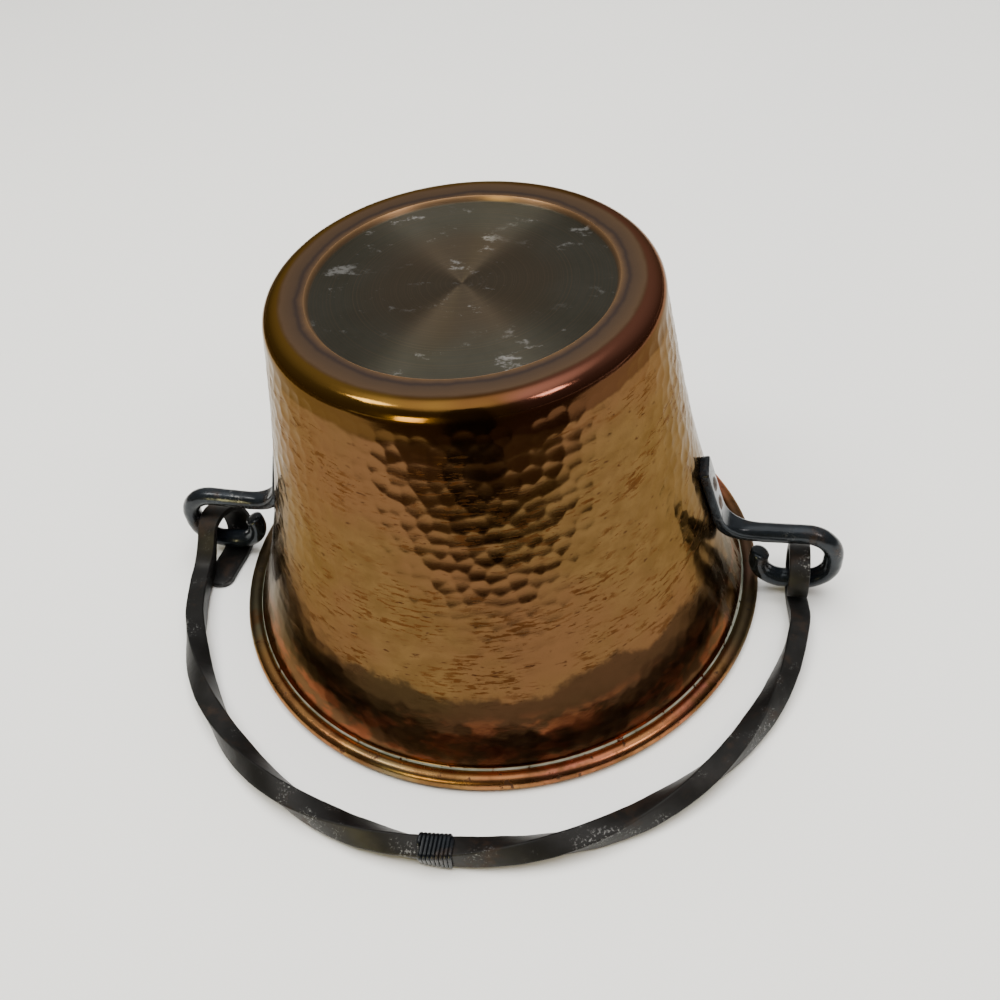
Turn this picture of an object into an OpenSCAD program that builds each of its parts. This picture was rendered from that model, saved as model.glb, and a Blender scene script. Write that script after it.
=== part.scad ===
// A hammered jam pan lying upside down on its rim, with its bail resting on the table in front of it.
// Origin: the pan's axis, in the plane of the rim. +Z: up, out of the pan's base. +X: towards one lug.
// The bail lies towards -Y and turns about the lower arms of the lug eyes. All sizes are in millimetres.

/* [Pan] */
// Outer radius of the rim, over the rolled bead
rim_r = 112; // [110:0.5:114]
// Height from the rim to the outer face of the base
pan_h = 153.5; // [150:0.5:158]
// Thickness of the sheet
sheet_t = 1.8; // [1.2:0.1:2.2]
// Radius of the round base corner
corner_r = 6.8; // [5:0.2:9]
// Outer radius of the wall where the corner ends
wall_top_r = 71.1; // [68:0.1:74]
// Lean of the wall where the corner ends
wall_lean = 9.2; // [8:0.1:11]
// Bow of the wall, negative where it is slightly hollow
wall_bow = -2.6; // [-5:0.1:1]
// Flare of the mouth
wall_flare = 14.3; // [12:0.1:16]
// Radius of the rolled bead's section
bead_r = 3.6; // [3:0.1:4]
// Depth of the flat that wear has left under the bead
bead_flat = 0.2; // [0.1:0.05:0.4]
// Radius of the step that surrounds the sunk base
lip_r = 55.5; // [45:0.5:60]
// Depth of the sunk base
recess_d = 2; // [1:0.1:3]
// Radius of the wire inside the bead
rim_wire_r = 2.35; // [1.8:0.05:2.5]

/* [Lugs] */
// Width of the strap that is riveted to the wall
strap_w = 12.5; // [10:0.5:18]
// Thickness of the strap
strap_t = 3.4; // [2.5:0.1:5]
// Height of the top of the left strap
strap_top_left = 77; // [70:0.5:82]
// Height of the top of the right strap
strap_top_right = 70; // [68:0.5:82]
// Radius of the round bar of the eye
eye_bar_r = 4.1; // [3.8:0.1:4.2]
// Height of the hinge line, the middle of the eye's lower arm
hinge_z = 7.8; // [7.8:0.1:8.5]
// Height of the eye from middle to middle of the bar
eye_h = 27; // [26:0.5:30]
// Distance from the pan's axis to the middle of the bar at the far end of the eye
eye_far_x = 140.8; // [139:0.2:144]
// Radius of the two bends at the far end
eye_far_bend = 12; // [11:0.5:13]
// Distance from the pan's axis to the middle of the bar where the end curls up
eye_near_x = 111; // [110.6:0.2:112]
// Radius of the curl
eye_near_bend = 11; // [10:0.5:12]
// Turn of the curled end, from level
curl_turn = 112; // [90:1:118]

/* [Rivets] */
// Radius of the rivet shanks
rivet_r = 2.3; // [2:0.1:2.6]
// Radius of the outer heads
rivet_head_r = 3.2; // [2.8:0.1:3.2]
// Height of the outer heads
rivet_head_h = 0.8; // [0.5:0.1:1.5]
// Heights of the two rivets on the wall
rivet_zs = [59.5, 49.5];

/* [Bail] */
// Side of the square bar
bar_w = 8.1; // [7.5:0.1:8.2]
// Half width of the bail at its ends
bail_half_x = 132.4; // [130:0.1:133]
// Reach of the bail's middle from the hinge line
bail_reach = 138.3; // [137:0.1:145]
// How far the loose bail has slid towards the left lug
bail_slid = 2; // [1.5:0.1:3]
// How much further forward the loose bail lies at the right lug, with as much further back at the left
bail_askew = 1.7; // [0:0.1:2]
// Extra fullness of the bail's shoulders
bail_fullness = 0.005; // [0:0.001:0.02]
// Twist of the bar from one end to the other
bail_twist = 540; // [0:90:720]
// Width of the flattened ends
hook_w = 8.5; // [7:0.1:8.5]
// Thickness of the flattened ends
hook_t = 2.8; // [2.4:0.1:2.8]
// Outer radius of the hooks
hook_r = 12.2; // [11.5:0.1:12.5]
// Length of the left hook's tail, forward of the hinge line
tail_len = 24; // [18:1:26]
// Width of the tail where it is spread before its rounded end
tail_w = 10.5; // [8.5:0.1:11]

/* [Wire wrap] */
// Radius of the wire wound round the middle of the bail
wrap_r = 0.5; // [0.45:0.01:0.5]
// Number of turns
wrap_turns = 8; // [3:1:8]
// Distance from one turn to the next
wrap_pitch = 1.5; // [1.5:0.05:1.7]
// How far the winding lies from the bail's middle, towards the right lug
wrap_offset = 3.5; // [0:0.5:6]

/* [Hidden] */

copper = [0.72, 0.45, 0.25];
iron = [0.16, 0.16, 0.17];
black_iron = [0.07, 0.08, 0.1];
rust = [0.32, 0.2, 0.13];

// Running clearance of the wire and the rivets in their holes
fit_gap = 0.05;
// Clearance between the straps and the wall that they lie on
strap_gap = 0.03;
// Room between the straight line of the straps and the wall, which bows away from it at the rivets
wall_bowed = 0.4;
// Length of the bores, through wall and strap
bore_len = 40;
// Inner rivet heads, and how far the shanks reach into the outer heads
inner_head_h = 1.3;
shank_lap = 0.3;
head_steps = 8;

// Bead, and how far inside its skin the two sides of the sheet end
bead_x = rim_r - bead_r;
bead_z = bead_r - bead_flat;
join_outer = 0.5;
join_inner = 0.05;

// Wall, from the corner down to the bead
corner_x = wall_top_r - corner_r * cos(wall_lean);
corner_z = pan_h - corner_r;
wall_top_z = corner_z + corner_r * sin(wall_lean);
wall_end_z = bead_z + 0.65 * bead_r;
wall_h = wall_top_z - wall_end_z;
wall_taper = wall_h * tan(wall_lean);
wall_steps = 16;
corner_steps = 8;
lip_w = 1.6;

// Straps: the straight line on the wall that both straps follow
strap_foot_z = 40;
strap_line_z = strap_foot_z + 30;
strap_foot_x = wall_x(strap_foot_z);
strap_lean = atan((strap_foot_x - wall_x(strap_line_z)) / (strap_line_z - strap_foot_z));
// Depth of the strap's stock behind that line, cut back to the wall
strap_sunk = 0.6;
strap_corner = 4.5;
// Where the strap starts to narrow, above its foot
shoulder_at = 5.8;
// How far the root reaches into the strap and the bend, and how much smaller its end is than the bar
root_lap = 0.6;
root_less = 0.05;
bend_r = 7;
top_arm_z = hinge_z + eye_h;
bend_z = top_arm_z + bend_r;
// Middle of the bar off the strap's line, and how far below the strap's foot its bend starts
bar_off = eye_bar_r + fit_gap;
root_len = (strap_foot_z - bend_z + (bar_off + bend_r) * sin(strap_lean)) / cos(strap_lean);
bend_off = (bar_off + bend_r) * cos(strap_lean) + root_len * sin(strap_lean);
// Rounded to a hundredth, so that the bend and the arm meet on one plane
bend_x = round(100 * (strap_foot_x + bend_off)) / 100;

// Hooks
hook_mid_r = hook_r - hook_t / 2;
hook_right_x = 127.5;
hook_left_x = -131.8;
tail_x = -123.8;
// Width of the tail at parts of its length
tail_stops = [[0.3, hook_w], [0.6, tail_w], [0.85, tail_w], [0.96, 0.8 * tail_w], [1, 0.55 * tail_w]];
hook_steps = 8;
tip_turn = 195;
left_turn = 140;
// Height of the middle of the bar, so that the winding touches the table
bar_z = 5.75;
bar_bevel = 0.8;
hook_bevel = 0.5;
// Where the square bar starts, forward of the hinge line
bar_start_y = 24;
bar_start_t = asin(bar_start_y / bail_reach);
bar_steps = 108;
approach_steps = 6;
// Parts of the bar's length over which it doesn't twist
twist_from = 0.013;
twist_to = 0.942;

// Winding
wrap_gap = 0.06;
wrap_half = bar_w / 2 + wrap_gap + wrap_r;
wrap_corner = 1.7;
rings_per_turn = 24;
// One ring more than the turns have, so that the wire starts as well as ends along a flat side
wrap_rings = wrap_turns * rings_per_turn + 1;
wrap_sides = 6;

// Wall of the pan

// Part of the way down the wall, 0 at the corner and 1 at the bead, for a height
function wall_u(z) = (wall_top_z - z) / wall_h;

// Outer radius of the wall for a part of the way down
function wall_r(u) = wall_top_r + wall_taper * u + wall_bow * pow(u, 2) + wall_flare * pow(u, 3);

function wall_x(z) = wall_r(wall_u(z));

// Angle between the wall and the vertical
function wall_slope(u) = atan((wall_taper + 2 * wall_bow * u + 3 * wall_flare * pow(u, 2)) / wall_h);

// Point of the wall, moved into the sheet by depth
function wall_point(u, depth) = let(a = wall_slope(u))
    [wall_r(u) - depth * cos(a), wall_top_z - u * wall_h - depth * sin(a)];

// Quarter of a base corner, moved into the sheet by depth
function corner_arc(depth) = [for (i = [0 : corner_steps])
    let(a = 90 - i * (90 - wall_lean) / corner_steps)
    [corner_x + (corner_r - depth) * cos(a), corner_z + (corner_r - depth) * sin(a)]];

// Wall from the corner to the bead, without its first point
function wall_line(depth) = [for (i = [1 : wall_steps]) wall_point(i / wall_steps, depth)];

// Step from the sunk base up to the lip, an S curve
function lip_curve(depth) = [for (a = [0 : 30 : 180])
    [lip_r - lip_w * (1 - a / 180), pan_h - depth - recess_d * (1 + cos(a)) / 2]];

function reversed(v) = [for (i = [len(v) - 1 : -1 : 0]) v[i]];

module pan_profile() {
    outer = concat([[0, pan_h - recess_d]], lip_curve(0), corner_arc(0), wall_line(0));
    inner = concat([[0, pan_h - recess_d - sheet_t]], lip_curve(sheet_t), corner_arc(sheet_t),
                   wall_line(sheet_t));
    bead_join = [[bead_x - bead_r + join_outer, bead_z], [bead_x - bead_r + join_inner, bead_z]];
    polygon(concat(outer, bead_join, reversed(inner)));
}

// Ring with a round section
module ring(ring_r, ring_z, section_r) {
    rotate_extrude($fn = 120)
        translate([ring_r, ring_z])
            circle(section_r, $fn = 32);
}

module pan_body() {
    color(copper)
        difference() {
            union() {
                rotate_extrude($fn = 120) pan_profile();
                ring(bead_x, bead_z, bead_r);
            }
            ring(bead_x, bead_z, rim_wire_r + fit_gap);
            translate([0, 0, -bead_r]) cylinder(h = bead_r, r = rim_r + bead_r, $fn = 120);
            for (side = [0, 1])
                mirror([side, 0, 0])
                    for (z = rivet_zs)
                        on_strap(z)
                            cylinder(h = bore_len, r = rivet_r + fit_gap, center = true, $fn = 32);
        }
}

module rim_wire() {
    color(iron) ring(bead_x, bead_z, rim_wire_r);
}

// Lugs

// The space that the pan takes up, a little larger than the pan
module wall_space(gap) {
    rotate_extrude($fn = 120)
        polygon(concat([[0, 0]], [for (i = [wall_steps : -1 : 0]) wall_point(i / wall_steps, -gap)],
                       [[0, wall_top_z]]));
}

// Places its children on the strap's line at a height, with +Z out of the strap
module on_strap(z) {
    translate([strap_foot_x - (z - strap_foot_z) * tan(strap_lean), 0, z])
        rotate([0, 90 - strap_lean, 0])
            children();
}

// Bent round bar in the XZ plane: from is -90 at the lowest point of the bend and 0 at its +X side
module bar_bend(centre_x, centre_z, bend, from, turn) {
    translate([centre_x, 0, centre_z])
        rotate([90, 0, 0])
            rotate([0, 0, from])
                rotate_extrude(angle = turn, $fn = 96)
                    translate([bend, 0])
                        circle(eye_bar_r, $fn = 32);
}

// Turns its children to face -X and places them at x
module mirrored_at(x) {
    translate([x, 0, 0])
        mirror([1, 0, 0])
            children();
}

// Straight round bar along X
module bar_along_x(from, to, z) {
    translate([from, 0, z])
        rotate([0, 90, 0])
            cylinder(h = to - from, r = eye_bar_r, $fn = 32);
}

// Flat strap with rounded upper corners, lying on the wall
module strap(top_z) {
    length = (top_z - strap_foot_z) / cos(strap_lean);
    on_strap(strap_foot_z)
        translate([0, 0, -strap_sunk])
            linear_extrude(height = strap_t + strap_sunk)
                union() {
                    translate([strap_corner - length, -strap_w / 2])
                        square([length - strap_corner - shoulder_at, strap_w]);
                    translate([-length, strap_corner - strap_w / 2])
                        square([2 * strap_corner, strap_w - 2 * strap_corner]);
                    for (side = [-1, 1])
                        translate([strap_corner - length, side * (strap_w / 2 - strap_corner)])
                            circle(strap_corner, $fn = 48);
                }
}

// Shoulders that run from the flat strap to the round bar
module strap_root() {
    on_strap(strap_foot_z)
        hull() {
            translate([-shoulder_at - root_lap, -strap_w / 2, 0]) cube([root_lap, strap_w, strap_t]);
            translate([root_len + root_lap, 0, bar_off])
                rotate([0, -90, 0])
                    cylinder(h = 2 * root_lap, r = eye_bar_r - root_less, $fn = 32);
        }
}

module lug(top_z) {
    far_x = eye_far_x - eye_far_bend;
    near_x = eye_near_x + eye_near_bend;
    color(black_iron)
        difference() {
            union() {
                strap(top_z);
                strap_root();
                mirrored_at(bend_x) bar_bend(0, bend_z, bend_r, -90, 90 - strap_lean);
                bar_along_x(bend_x, far_x, top_arm_z);
                bar_bend(far_x, top_arm_z - eye_far_bend, eye_far_bend, 0, 90);
                translate([eye_far_x, 0, hinge_z + eye_far_bend])
                    cylinder(h = eye_h - 2 * eye_far_bend, r = eye_bar_r, $fn = 32);
                bar_bend(far_x, hinge_z + eye_far_bend, eye_far_bend, -90, 90);
                bar_along_x(near_x, far_x, hinge_z);
                mirrored_at(near_x) bar_bend(0, hinge_z + eye_near_bend, eye_near_bend, -90, curl_turn);
            }
            wall_space(strap_gap);
            for (z = rivet_zs)
                on_strap(z)
                    cylinder(h = bore_len, r = rivet_r + fit_gap, center = true, $fn = 32);
        }
}

module lug_left() {
    mirror([1, 0, 0]) lug(strap_top_left);
}

module lug_right() {
    lug(strap_top_right);
}

// Domed rivet head, standing on its flat side
module rivet_head(head_r, head_h) {
    dome_r = (pow(head_r, 2) + pow(head_h, 2)) / (2 * head_h);
    half = asin(head_r / dome_r);
    rotate_extrude($fn = 48)
        polygon(concat([[0, 0]], [for (i = [head_steps : -1 : 0]) let(a = half * i / head_steps)
            [dome_r * sin(a), dome_r * cos(a) - dome_r + head_h]]));
}

// One rivet, from the head inside the pan to the head on the strap
module rivet(z) {
    inner_depth = sheet_t + wall_bowed;
    color(rust)
        on_strap(z) {
            translate([0, 0, strap_t]) rivet_head(rivet_head_r, rivet_head_h);
            translate([0, 0, -inner_depth])
                cylinder(h = inner_depth + strap_t + shank_lap, r = rivet_r, $fn = 32);
            translate([0, 0, -inner_depth]) mirror([0, 0, 1]) rivet_head(rivet_head_r, inner_head_h);
        }
}

module rivet_left_upper() {
    mirror([1, 0, 0]) rivet(rivet_zs[0]);
}

module rivet_left_lower() {
    mirror([1, 0, 0]) rivet(rivet_zs[1]);
}

module rivet_right_upper() {
    rivet(rivet_zs[0]);
}

module rivet_right_lower() {
    rivet(rivet_zs[1]);
}

// Bail: one bar swept along a path, with flattened ends bent round the lug eyes

function unit(v) = v / norm(v);

function ease(u) = let(c = min(1, max(0, u))) c * c * (3 - 2 * c);

function mixed(a, b, u) = a * (1 - u) + b * u;

function curve_point(p, q, r, s, u) = p * pow(1 - u, 3) + 3 * q * u * pow(1 - u, 2)
    + 3 * r * pow(u, 2) * (1 - u) + s * pow(u, 3);

// Middle of the bar for an angle round the bail, 0 at the right end and 180 at the left end
function bar_point(t) = let(k = 1 + bail_fullness * pow(sin(2 * t), 2))
    [bail_half_x * k * cos(t) - bail_slid, -bail_reach * k * sin(t) - bail_askew * cos(t), bar_z];

function bar_dir(t) = unit(bar_point(t + 0.5) - bar_point(t - 0.5));

// Middle of a hook's strap: angle 0 behind the hinge line, 90 over it, 180 in front of it
function hook_point(x, a) = [x, hook_mid_r * cos(a), hook_r + hook_mid_r * sin(a)];

// Direction in which the angle falls
function hook_dir(a) = [0, sin(a), -cos(a)];

// Each stop of the path is [point, outward direction, half width, half thickness, bevel, part of the twist]
function hook_stop(point, side, width = hook_w) =
    [point, [side, 0, 0], width / 2, hook_t / 2, hook_bevel, side > 0 ? 0 : 1];

function bar_stop(t) = let(d = bar_dir(t), u = (t - bar_start_t) / (180 - 2 * bar_start_t))
    [bar_point(t), [-d[1], d[0], 0], bar_w / 2, bar_w / 2, bar_bevel,
     min(1, max(0, (u - twist_from) / (twist_to - twist_from)))];

// Smooth run between a hook and the bar, u from 0 at the hook to 1 at the bar
function approach_stop(side, from, from_dir, t, reach, u) = let(
    to = bar_point(t),
    to_dir = side > 0 ? -bar_dir(t) : bar_dir(t),
    e = ease(u))
    [curve_point(from, from + reach * from_dir, to + reach * to_dir, to, u),
     [side, 0, 0],
     mixed(hook_w, bar_w, e) / 2, mixed(hook_t, bar_w, e) / 2, mixed(hook_bevel, bar_bevel, e),
     side > 0 ? 0 : 1];

right_hook = [for (i = [0 : 3 * hook_steps])
    hook_stop(hook_point(hook_right_x, tip_turn - i * (tip_turn + 90) / (3 * hook_steps)), 1)];

right_approach = [for (i = [1 : approach_steps - 1])
    approach_stop(1, hook_point(hook_right_x, -90), hook_dir(-90), bar_start_t, 8, i / approach_steps)];

bar_run = [for (i = [0 : bar_steps]) bar_stop(bar_start_t + i * (180 - 2 * bar_start_t) / bar_steps)];

left_approach = [for (i = [approach_steps - 1 : -1 : 1])
    approach_stop(-1, hook_point(hook_left_x, left_turn), -hook_dir(left_turn), 180 - bar_start_t, 7,
                  i / approach_steps)];

left_hook = [for (i = [0 : 3 * hook_steps])
    let(u = i / (3 * hook_steps))
    hook_stop(hook_point(mixed(hook_left_x, tail_x, ease(u)), left_turn - u * (left_turn + 90)), -1)];

left_tail = [for (s = tail_stops) hook_stop([tail_x, -tail_len * s[0], hook_t / 2], -1, s[1])];

bail_stops = concat(right_hook, right_approach, bar_run, left_approach, left_hook, left_tail);

// Direction of the path at stop i
function stop_dir(s, i) = unit(s[min(i + 1, len(s) - 1)][0] - s[max(i - 1, 0)][0]);

// Directions of the section at stop i: across the strap and through its thickness, turned by the twist
function stop_axes(s, i) = let(
    d = stop_dir(s, i),
    across = unit(s[i][1] - d * (s[i][1] * d)),
    through = cross(d, across),
    a = bail_twist * s[i][5])
    [across * cos(a) - through * sin(a), through * cos(a) + across * sin(a)];

// Eight corners of the bevelled section
function section(half_w, half_t, bevel) = [
    [half_w, half_t - bevel], [half_w - bevel, half_t],
    [bevel - half_w, half_t], [-half_w, half_t - bevel],
    [-half_w, bevel - half_t], [bevel - half_w, -half_t],
    [half_w - bevel, -half_t], [half_w, bevel - half_t]];

function stop_ring(s, i) = let(ax = stop_axes(s, i))
    [for (c = section(s[i][2], s[i][3], s[i][4])) s[i][0] + ax[0] * c[0] + ax[1] * c[1]];

// Closed skin over rings of n points each, as triangles
module skin(rings, n) {
    count = len(rings);
    points = [for (r = rings) for (p = r) p];
    sides = [for (i = [0 : count - 2]) for (j = [0 : n - 1])
        let(a = i * n + j, b = i * n + (j + 1) % n)
        each [[a, a + n, b], [b, a + n, b + n]]];
    last = (count - 1) * n;
    caps = [for (j = [1 : n - 2]) each [[0, j, j + 1], [last, last + j + 1, last + j]]];
    polyhedron(points, concat(sides, caps), convexity = 10);
}

module bail() {
    color(iron)
        skin([for (i = [0 : len(bail_stops) - 1]) stop_ring(bail_stops, i)], 8);
}

// Wire wrap: one unbroken wire round the square bar, following its twist

wrap_deg_per_mm = 180 / (PI * bail_half_x);
wrap_mid_t = 90 - wrap_offset * wrap_deg_per_mm;

// Point of a square with round corners, for a step of the turn, and its outward direction.
// Each of the four sides has five steps round its corner and one in the middle of its flat.
function round_square(step) = let(
    k = step % 6,
    flat = wrap_half - wrap_corner,
    a = min(k, 4) * 90 / 4,
    turn = floor(step / 6) * 90,
    local = k < 5 ? [flat + wrap_corner * cos(a), flat + wrap_corner * sin(a)] : [0, wrap_half],
    out = k < 5 ? [cos(a), sin(a)] : [0, 1])
    [[local[0] * cos(turn) - local[1] * sin(turn), local[0] * sin(turn) + local[1] * cos(turn)],
     [out[0] * cos(turn) - out[1] * sin(turn), out[0] * sin(turn) + out[1] * cos(turn)]];

// Middle of the wire and its outward direction at ring i
function wrap_stop(i) = let(
    along = (i - wrap_rings / 2) * wrap_pitch / rings_per_turn,
    t = wrap_mid_t - along * wrap_deg_per_mm,
    s = [bar_stop(t - 1), bar_stop(t), bar_stop(t + 1)],
    ax = stop_axes(s, 1),
    q = round_square((i + rings_per_turn - 1) % rings_per_turn))
    [s[1][0] + ax[0] * q[0][0] + ax[1] * q[0][1], ax[0] * q[1][0] + ax[1] * q[1][1]];

wrap_stops = [for (i = [0 : wrap_rings]) wrap_stop(i)];

function wrap_ring(i) = let(
    d = stop_dir(wrap_stops, i),
    out = unit(wrap_stops[i][1] - d * (wrap_stops[i][1] * d)),
    aside = cross(d, out))
    [for (j = [0 : wrap_sides - 1])
        wrap_stops[i][0] + wrap_r * (out * cos(60 * j + 30) + aside * sin(60 * j + 30))];

// Least distance from the wire to its next turn, measured between the middles of the rings
half_turn = rings_per_turn / 2;
wrap_least_gap = min([for (i = [0 : wrap_rings - half_turn])
    for (j = [i + half_turn : min(i + 3 * half_turn, wrap_rings)])
        norm(wrap_stops[i][0] - wrap_stops[j][0])]) - 2 * wrap_r;

module bail_wire_wrap() {
    echo("least gap between turns of the wire wrap in mm", wrap_least_gap);
    color(black_iron)
        skin([for (i = [0 : wrap_rings]) wrap_ring(i)], wrap_sides);
}

pan_body();
rim_wire();
lug_left();
lug_right();
rivet_left_upper();
rivet_left_lower();
rivet_right_upper();
rivet_right_lower();
bail();
bail_wire_wrap();
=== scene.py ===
"""Looks of a hammered copper jam pan that lies upside down on its rim, with its iron bail in front.

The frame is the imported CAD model: metres, +Z up out of the pan's base, +X towards the right lug. The
pan's sheet, lugs, rivets, bail and wire wrap are rebuilt here from the same driving sizes, in
millimetres, with the hammer marks, forging and wear that the solids leave out.
"""

import math

import bpy
import numpy as np
from mathutils import Matrix, Vector, kdtree, noise


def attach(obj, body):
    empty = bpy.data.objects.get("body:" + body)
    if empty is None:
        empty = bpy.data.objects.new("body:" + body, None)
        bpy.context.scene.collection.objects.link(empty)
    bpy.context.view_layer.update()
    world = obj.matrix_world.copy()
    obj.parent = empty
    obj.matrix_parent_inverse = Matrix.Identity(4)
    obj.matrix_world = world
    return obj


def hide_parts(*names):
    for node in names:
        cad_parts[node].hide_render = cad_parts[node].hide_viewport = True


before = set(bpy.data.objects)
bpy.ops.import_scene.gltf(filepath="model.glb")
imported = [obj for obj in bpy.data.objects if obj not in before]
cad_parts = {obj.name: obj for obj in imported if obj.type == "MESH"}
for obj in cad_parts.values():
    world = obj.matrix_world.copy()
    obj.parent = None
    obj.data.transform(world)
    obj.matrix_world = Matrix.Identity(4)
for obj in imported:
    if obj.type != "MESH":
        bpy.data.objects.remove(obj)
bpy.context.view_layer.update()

MM = 0.001
SEED = 7

# Pan, as in the CAD model
RIM_R = 112.0
PAN_H = 153.5
SHEET_T = 1.8
CORNER_R = 6.8
WALL_TOP_R = 71.1
WALL_LEAN = math.radians(9.2)
WALL_BOW = -2.6
WALL_FLARE = 14.3
BEAD_R = 3.6
BEAD_FLAT = 0.2
LIP_R = 55.5
LIP_W = 1.6
RECESS_D = 2.0

BEAD_X = RIM_R - BEAD_R
BEAD_Z = BEAD_R - BEAD_FLAT
CORNER_X = WALL_TOP_R - CORNER_R * math.cos(WALL_LEAN)
CORNER_Z = PAN_H - CORNER_R
WALL_TOP_Z = CORNER_Z + CORNER_R * math.sin(WALL_LEAN)
WALL_END_Z = BEAD_Z + 0.65 * BEAD_R
WALL_H = WALL_TOP_Z - WALL_END_Z
WALL_TAPER = WALL_H * math.tan(WALL_LEAN)

# The sunk base isn't quite flat: it swells a little, and dips at its centre
BASE_SWELL = 0.25
CENTRE_RADII = (0.4, 1.2, 2.2)
CENTRE_DIPS = (0.5, 0.35, 0.05)

# Hammer marks: the rows start below the polished band of the corner and fade towards the flare
HAMMER_TOP_Z = 141.4
BLOW_SPACING = 6.4
ROW_SPACING = 5.3
BLOW_R = 4.4
BLOW_DEPTH = 0.3
BLOW_ASIDE = 0.17
BLOW_ASTRAY = 0.8
WEAKEST_BLOW = 0.65
STRONGEST_BLOW = 1.1
NEAR_BLOWS = 4
FADED_Z = 42.0
FADE_H = 55.0
FADED_SHARE = 0.2

# How finely the pan's faces are divided
WALL_SEGMENTS = 940
WALL_ROWS = 192
BASE_SEGMENTS = 256
BEAD_SEGMENTS = 360

# Lugs, as in the CAD model
STRAP_W = 12.5
STRAP_T = 3.4
STRAP_SUNK = 0.5
SHOULDER_AT = 5.8
STRAP_CORNER = 2.0
STRAP_TOP = {"left": 77.0, "right": 70.0}
STRAP_FOOT_Z = 40.0
STRAP_LINE_H = 30.0
STRAP_EDGE = 0.9
BAR_R = 4.1
HINGE_Z = 7.8
EYE_H = 27.0
EYE_FAR_X = 140.8
EYE_FAR_BEND = 12.0
EYE_NEAR_X = 111.0
EYE_NEAR_BEND = 11.0
CURL_TURN = math.radians(112)
ROOT_REACH = 15.0
ROOT_POINTS = 50
ARM_RUN = 30.0
ARM_DIP = {"left": 1.8, "right": 0.7}
TOP_ROUND = 0.5
TIP_ROUND = 1.4
RIVET_ZS = {"upper": 59.5, "lower": 49.5}
HEAD_R = 3.2
HEAD_H = 0.8
INNER_HEAD_H = 1.3
HEAD_RINGS = 10
HEAD_POINTS = 36

# Bail, as in the CAD model
BAR_W = 8.1
BAIL_HALF_X = 132.4
BAIL_REACH = 138.3
BAIL_SLID = 2.0
BAIL_ASKEW = 1.7
BAIL_FULLNESS = 0.005
BAIL_TWIST = math.radians(540)
BAR_Z = 5.75
BAR_START_Y = 24.0
TWIST_FROM = 0.013
TWIST_TO = 0.942
HOOK_W = 8.5
HOOK_T = 2.8
HOOK_R = 12.2
HOOK_RIGHT_X = 127.5
HOOK_LEFT_X = -131.8
TAIL_X = -124.6
TAIL_ASIDE = 1.8
TAIL_W = 12.6
TAIL_ROUND_AT = 0.78
TIP_TURN = math.radians(195)
LEFT_TURN = math.radians(140)
BAR_EDGE = 0.75
HOOK_EDGE = 0.5

# Points along the bail: right hook, each run between a hook and the bar, bar, left hook, tail
HOOK_POINTS = 90
RUN_POINTS = 30
BAR_POINTS = 640
LEFT_POINTS = 80
TAIL_POINTS = 33
BAR_START_T = math.asin(BAR_START_Y / BAIL_REACH)
RUN_SHARES = np.linspace(0, 1, RUN_POINTS + 2)[1:-1]
BAR_TS = np.linspace(BAR_START_T, math.pi - BAR_START_T, BAR_POINTS)
LEFT_SHARES = np.linspace(0, 1, LEFT_POINTS)
TAIL_SHARES = np.linspace(0, 1, TAIL_POINTS + 1)[1:]

# Wire wrap, as in the CAD model
WRAP_R = 0.47
WIRE_HALF_W = 0.73
WRAP_TURNS = 8
WRAP_PITCH = 1.5
WRAP_OFFSET = 3.5
WRAP_CORNER = 1.7
WRAP_GAP = 0.06
WRAP_HALF = BAR_W / 2 + WRAP_GAP + WRAP_R
WRAP_SIDE_STEPS = 12
WRAP_CORNER_STEPS = 8
WIRE_POINTS = 12
WIRE_END = 0.75

# Camera, found from the photo's circles: place, the point it looks at, roll and focal length
CAMERA_AT = (87.8, -311.3, 366.1)
CAMERA_AIM = (10.6, -25.4, 70.1)
CAMERA_ROLL = math.radians(-7.28)
FOCAL_PX = 1090.3
IMAGE_PX = 1000
SENSOR = 36.0


# Mesh helpers


def smooth(t):
    """0 up to 0, 1 from 1, smooth between."""
    t = np.clip(t, 0.0, 1.0)
    return t * t * (3 - 2 * t)


def grid_faces(rows, columns):
    """Quads between rows of points, each row closed on itself."""
    i, j = np.meshgrid(np.arange(rows - 1), np.arange(columns), indexing="ij")
    k = (j + 1) % columns
    here = i * columns
    below = here + columns
    return np.stack([here + j, here + k, below + k, below + j], -1).reshape(-1, 4).tolist()


def make_piece(name, points_mm, faces, body, material, stands_for=()):
    """A smooth-shaded mesh piece that rides on a body."""
    mesh = bpy.data.meshes.new(name)
    mesh.from_pydata((np.asarray(points_mm) * MM).tolist(), [], faces)
    mesh.validate()
    mesh.polygons.foreach_set("use_smooth", [True] * len(mesh.polygons))
    mesh.materials.append(material)
    piece = bpy.data.objects.new(name, mesh)
    bpy.context.scene.collection.objects.link(piece)
    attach(piece, body)
    if stands_for:
        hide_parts(*stands_for)
    return piece


def skin(rings, caps=True):
    """Points and faces over a list of closed rings with the same number of points each."""
    rings = np.asarray(rings)
    rows, columns = rings.shape[:2]
    faces = grid_faces(rows, columns)
    if caps:
        last = (rows - 1) * columns
        faces.append(list(range(columns))[::-1])
        faces.append([last + j for j in range(columns)])
    return rings.reshape(-1, 3), faces


def frames_along(points, outward):
    """Unit directions of a path, and its outward directions squared up to it."""
    ahead = np.empty_like(points)
    ahead[1:-1] = points[2:] - points[:-2]
    ahead[0] = points[1] - points[0]
    ahead[-1] = points[-1] - points[-2]
    ahead /= np.linalg.norm(ahead, axis=1)[:, None]
    out = outward - ahead * np.sum(outward * ahead, axis=1)[:, None]
    out /= np.linalg.norm(out, axis=1)[:, None]
    return ahead, out


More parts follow.
